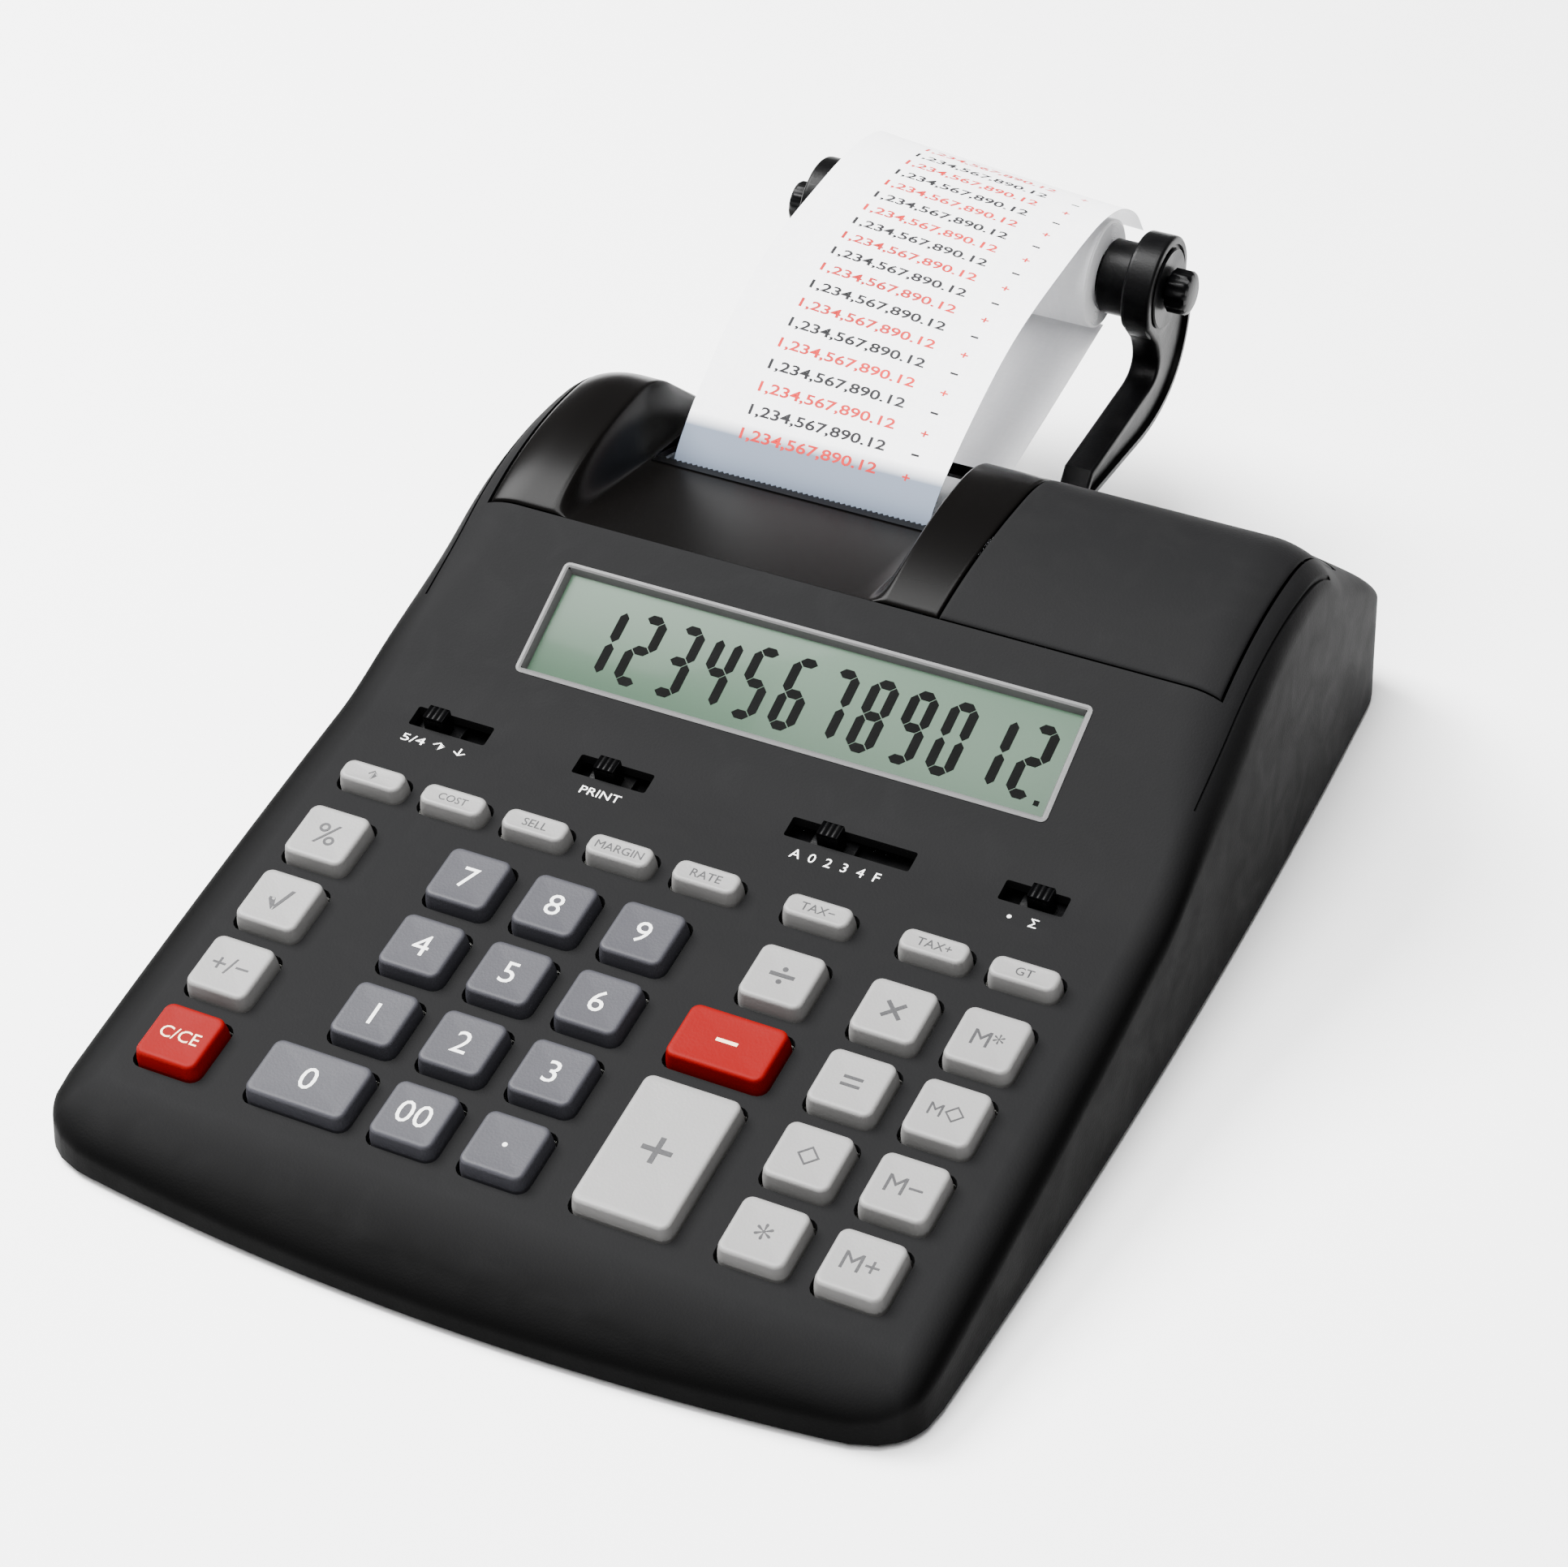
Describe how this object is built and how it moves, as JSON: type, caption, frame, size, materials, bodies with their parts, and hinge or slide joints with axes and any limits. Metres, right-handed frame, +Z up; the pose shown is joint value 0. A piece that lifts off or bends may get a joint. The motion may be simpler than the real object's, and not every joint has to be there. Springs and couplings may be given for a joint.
{
  "type": "printing desk calculator",
  "caption": "Printing desk calculator with a sloping keyboard, liquid-crystal display, slide switches, lifting printer cover and a paper roll on two rear arms.",
  "frame": {"origin": "on the table, under the middle of the whole outline with its roll arms", "axes": "+X to the right of the keyboard, +Y away from the user, +Z up"},
  "size_m": [0.178, 0.316, 0.0814],
  "materials": {
    "case": "dark charcoal, fine satin grain",
    "base": "near black, matt",
    "gloss_black": "polished black",
    "number_key": "blue-grey satin",
    "light_key": "warm light grey satin",
    "red_key": "red satin",
    "black_plastic": "black satin",
    "paper": "uncoated white paper",
    "foot_rubber": "matt black rubber",
    "platen_rubber": "ground black rubber",
    "board": "green solder mask",
    "mat": "grey silicone rubber",
    "lcd": "grey-green display glass",
    "steel": "zinc-plated sheet and turned steel",
    "ink": "ink-soaked felt"
  },
  "bodies": {
    "case": {"top_case": "case", "bottom_case": "base", "front_foot": "foot_rubber", "rear_foot": "foot_rubber", "lcd_panel": "lcd", "main_board": "board", "key_mat": "mat", "left_roll_arm": "black_plastic", "right_roll_arm": "black_plastic", "paper_tape": "paper", "printer_frame": "steel", "drive_motor": "steel", "power_socket": "black_plastic"},
    "cover": {"printer_cover": "case", "cover_window": "gloss_black"},
    "roll": {"roll_spindle": "black_plastic", "paper_roll": "paper"},
    "platen": {"platen_roller": "platen_rubber"},
    "pinion": {"motor_pinion": "steel"},
    "carriage": {"print_head": "black_plastic"},
    "ink": {"ink_roller": "ink"},
    "key_7": {"key_7": "number_key"},
    "key_8": {"key_8": "number_key"},
    "key_9": {"key_9": "number_key"},
    "key_4": {"key_4": "number_key"},
    "key_5": {"key_5": "number_key"},
    "key_6": {"key_6": "number_key"},
    "key_1": {"key_1": "number_key"},
    "key_2": {"key_2": "number_key"},
    "key_3": {"key_3": "number_key"},
    "key_0": {"key_0": "number_key"},
    "key_00": {"key_00": "number_key"},
    "key_point": {"key_point": "number_key"},
    "key_percent": {"key_percent": "light_key"},
    "key_root": {"key_root": "light_key"},
    "key_sign": {"key_sign": "light_key"},
    "key_divide": {"key_divide": "light_key"},
    "key_plus": {"key_plus": "light_key"},
    "key_multiply": {"key_multiply": "light_key"},
    "key_equals": {"key_equals": "light_key"},
    "key_subtotal": {"key_subtotal": "light_key"},
    "key_total": {"key_total": "light_key"},
    "key_memory_total": {"key_memory_total": "light_key"},
    "key_memory_subtotal": {"key_memory_subtotal": "light_key"},
    "key_memory_minus": {"key_memory_minus": "light_key"},
    "key_memory_plus": {"key_memory_plus": "light_key"},
    "key_clear": {"key_clear": "red_key"},
    "key_minus": {"key_minus": "red_key"},
    "key_feed": {"key_feed": "light_key"},
    "key_cost": {"key_cost": "light_key"},
    "key_sell": {"key_sell": "light_key"},
    "key_margin": {"key_margin": "light_key"},
    "key_rate": {"key_rate": "light_key"},
    "key_tax_minus": {"key_tax_minus": "light_key"},
    "key_tax_plus": {"key_tax_plus": "light_key"},
    "key_grand_total": {"key_grand_total": "light_key"},
    "rounding_switch": {"rounding_switch": "black_plastic"},
    "print_switch": {"print_switch": "black_plastic"},
    "decimal_switch": {"decimal_switch": "black_plastic"},
    "total_switch": {"total_switch": "black_plastic"}
  },
  "joints": [
    {"name": "key_7_press", "type": "slide", "parent": "case", "child": "key_7", "axis": [0, -0.1951, 0.9808], "range_m": [-0.0018, 0], "stiffness_N_per_m": 300},
    {"name": "key_8_press", "type": "slide", "parent": "case", "child": "key_8", "axis": [0, -0.1951, 0.9808], "range_m": [-0.0018, 0], "stiffness_N_per_m": 300},
    {"name": "key_9_press", "type": "slide", "parent": "case", "child": "key_9", "axis": [0, -0.1951, 0.9808], "range_m": [-0.0018, 0], "stiffness_N_per_m": 300},
    {"name": "key_4_press", "type": "slide", "parent": "case", "child": "key_4", "axis": [0, -0.1951, 0.9808], "range_m": [-0.0018, 0], "stiffness_N_per_m": 300},
    {"name": "key_5_press", "type": "slide", "parent": "case", "child": "key_5", "axis": [0, -0.1951, 0.9808], "range_m": [-0.0018, 0], "stiffness_N_per_m": 300},
    {"name": "key_6_press", "type": "slide", "parent": "case", "child": "key_6", "axis": [0, -0.1951, 0.9808], "range_m": [-0.0018, 0], "stiffness_N_per_m": 300},
    {"name": "key_1_press", "type": "slide", "parent": "case", "child": "key_1", "axis": [0, -0.1951, 0.9808], "range_m": [-0.0018, 0], "stiffness_N_per_m": 300},
    {"name": "key_2_press", "type": "slide", "parent": "case", "child": "key_2", "axis": [0, -0.1951, 0.9808], "range_m": [-0.0018, 0], "stiffness_N_per_m": 300},
    {"name": "key_3_press", "type": "slide", "parent": "case", "child": "key_3", "axis": [0, -0.1951, 0.9808], "range_m": [-0.0018, 0], "stiffness_N_per_m": 300},
    {"name": "key_0_press", "type": "slide", "parent": "case", "child": "key_0", "axis": [0, -0.1951, 0.9808], "range_m": [-0.0018, 0], "stiffness_N_per_m": 300},
    {"name": "key_00_press", "type": "slide", "parent": "case", "child": "key_00", "axis": [0, -0.1951, 0.9808], "range_m": [-0.0018, 0], "stiffness_N_per_m": 300},
    {"name": "key_point_press", "type": "slide", "parent": "case", "child": "key_point", "axis": [0, -0.1951, 0.9808], "range_m": [-0.0018, 0], "stiffness_N_per_m": 300},
    {"name": "key_percent_press", "type": "slide", "parent": "case", "child": "key_percent", "axis": [0, -0.1951, 0.9808], "range_m": [-0.0018, 0], "stiffness_N_per_m": 300},
    {"name": "key_root_press", "type": "slide", "parent": "case", "child": "key_root", "axis": [0, -0.1951, 0.9808], "range_m": [-0.0018, 0], "stiffness_N_per_m": 300},
    {"name": "key_sign_press", "type": "slide", "parent": "case", "child": "key_sign", "axis": [0, -0.1951, 0.9808], "range_m": [-0.0018, 0], "stiffness_N_per_m": 300},
    {"name": "key_divide_press", "type": "slide", "parent": "case", "child": "key_divide", "axis": [0, -0.1951, 0.9808], "range_m": [-0.0018, 0], "stiffness_N_per_m": 300},
    {"name": "key_plus_press", "type": "slide", "parent": "case", "child": "key_plus", "axis": [0, -0.1951, 0.9808], "range_m": [-0.0018, 0], "stiffness_N_per_m": 300},
    {"name": "key_multiply_press", "type": "slide", "parent": "case", "child": "key_multiply", "axis": [0, -0.1951, 0.9808], "range_m": [-0.0018, 0], "stiffness_N_per_m": 300},
    {"name": "key_equals_press", "type": "slide", "parent": "case", "child": "key_equals", "axis": [0, -0.1951, 0.9808], "range_m": [-0.0018, 0], "stiffness_N_per_m": 300},
    {"name": "key_subtotal_press", "type": "slide", "parent": "case", "child": "key_subtotal", "axis": [0, -0.1951, 0.9808], "range_m": [-0.0018, 0], "stiffness_N_per_m": 300},
    {"name": "key_total_press", "type": "slide", "parent": "case", "child": "key_total", "axis": [0, -0.1951, 0.9808], "range_m": [-0.0018, 0], "stiffness_N_per_m": 300},
    {"name": "key_memory_total_press", "type": "slide", "parent": "case", "child": "key_memory_total", "axis": [0, -0.1951, 0.9808], "range_m": [-0.0018, 0], "stiffness_N_per_m": 300},
    {"name": "key_memory_subtotal_press", "type": "slide", "parent": "case", "child": "key_memory_subtotal", "axis": [0, -0.1951, 0.9808], "range_m": [-0.0018, 0], "stiffness_N_per_m": 300},
    {"name": "key_memory_minus_press", "type": "slide", "parent": "case", "child": "key_memory_minus", "axis": [0, -0.1951, 0.9808], "range_m": [-0.0018, 0], "stiffness_N_per_m": 300},
    {"name": "key_memory_plus_press", "type": "slide", "parent": "case", "child": "key_memory_plus", "axis": [0, -0.1951, 0.9808], "range_m": [-0.0018, 0], "stiffness_N_per_m": 300},
    {"name": "key_clear_press", "type": "slide", "parent": "case", "child": "key_clear", "axis": [0, -0.1951, 0.9808], "range_m": [-0.0018, 0], "stiffness_N_per_m": 300},
    {"name": "key_minus_press", "type": "slide", "parent": "case", "child": "key_minus", "axis": [0, -0.1951, 0.9808], "range_m": [-0.0018, 0], "stiffness_N_per_m": 300},
    {"name": "key_feed_press", "type": "slide", "parent": "case", "child": "key_feed", "axis": [0, -0.1951, 0.9808], "range_m": [-0.0018, 0], "stiffness_N_per_m": 300},
    {"name": "key_cost_press", "type": "slide", "parent": "case", "child": "key_cost", "axis": [0, -0.1951, 0.9808], "range_m": [-0.0018, 0], "stiffness_N_per_m": 300},
    {"name": "key_sell_press", "type": "slide", "parent": "case", "child": "key_sell", "axis": [0, -0.1951, 0.9808], "range_m": [-0.0018, 0], "stiffness_N_per_m": 300},
    {"name": "key_margin_press", "type": "slide", "parent": "case", "child": "key_margin", "axis": [0, -0.1951, 0.9808], "range_m": [-0.0018, 0], "stiffness_N_per_m": 300},
    {"name": "key_rate_press", "type": "slide", "parent": "case", "child": "key_rate", "axis": [0, -0.1951, 0.9808], "range_m": [-0.0018, 0], "stiffness_N_per_m": 300},
    {"name": "key_tax_minus_press", "type": "slide", "parent": "case", "child": "key_tax_minus", "axis": [0, -0.1951, 0.9808], "range_m": [-0.0018, 0], "stiffness_N_per_m": 300},
    {"name": "key_tax_plus_press", "type": "slide", "parent": "case", "child": "key_tax_plus", "axis": [0, -0.1951, 0.9808], "range_m": [-0.0018, 0], "stiffness_N_per_m": 300},
    {"name": "key_grand_total_press", "type": "slide", "parent": "case", "child": "key_grand_total", "axis": [0, -0.1951, 0.9808], "range_m": [-0.0018, 0], "stiffness_N_per_m": 300},
    {"name": "rounding_switch_slide", "type": "slide", "parent": "case", "child": "rounding_switch", "axis": [1, 0, 0], "range_m": [-0.003, 0.009]},
    {"name": "print_switch_slide", "type": "slide", "parent": "case", "child": "print_switch", "axis": [1, 0, 0], "range_m": [-0.0045, 0.0065]},
    {"name": "decimal_switch_slide", "type": "slide", "parent": "case", "child": "decimal_switch", "axis": [1, 0, 0], "range_m": [-0.0065, 0.0145]},
    {"name": "total_switch_slide", "type": "slide", "parent": "case", "child": "total_switch", "axis": [1, 0, 0], "range_m": [-0.0055, 0.0025]},
    {"name": "cover_hinge", "type": "hinge", "parent": "case", "child": "cover", "pos_m": [0, 0.07055, 0.0482], "axis": [-1, 0, 0], "range_deg": [0, 65]},
    {"name": "roll_spin", "type": "hinge", "parent": "case", "child": "roll", "pos_m": [-0.0277, 0.136, 0.061], "axis": [1, 0, 0], "continuous": true},
    {"name": "platen_spin", "type": "hinge", "parent": "case", "child": "platen", "pos_m": [-0.0277, 0.052, 0.03], "axis": [1, 0, 0], "continuous": true},
    {"name": "pinion_spin", "type": "hinge", "parent": "case", "child": "pinion", "pos_m": [0.017, 0.0658, 0.03], "axis": [1, 0, 0], "continuous": true},
    {"name": "carriage_slide", "type": "slide", "parent": "case", "child": "carriage", "axis": [1, 0, 0], "range_m": [-0.006, 0.048]},
    {"name": "ink_spin", "type": "hinge", "parent": "carriage", "child": "ink", "pos_m": [-0.048, 0.0346, 0.0285], "axis": [1, 0, 0], "continuous": true}
  ],
  "couplings": [
    {"joint": "pinion_spin", "follows": "platen_spin", "ratio": -2}
  ]
}
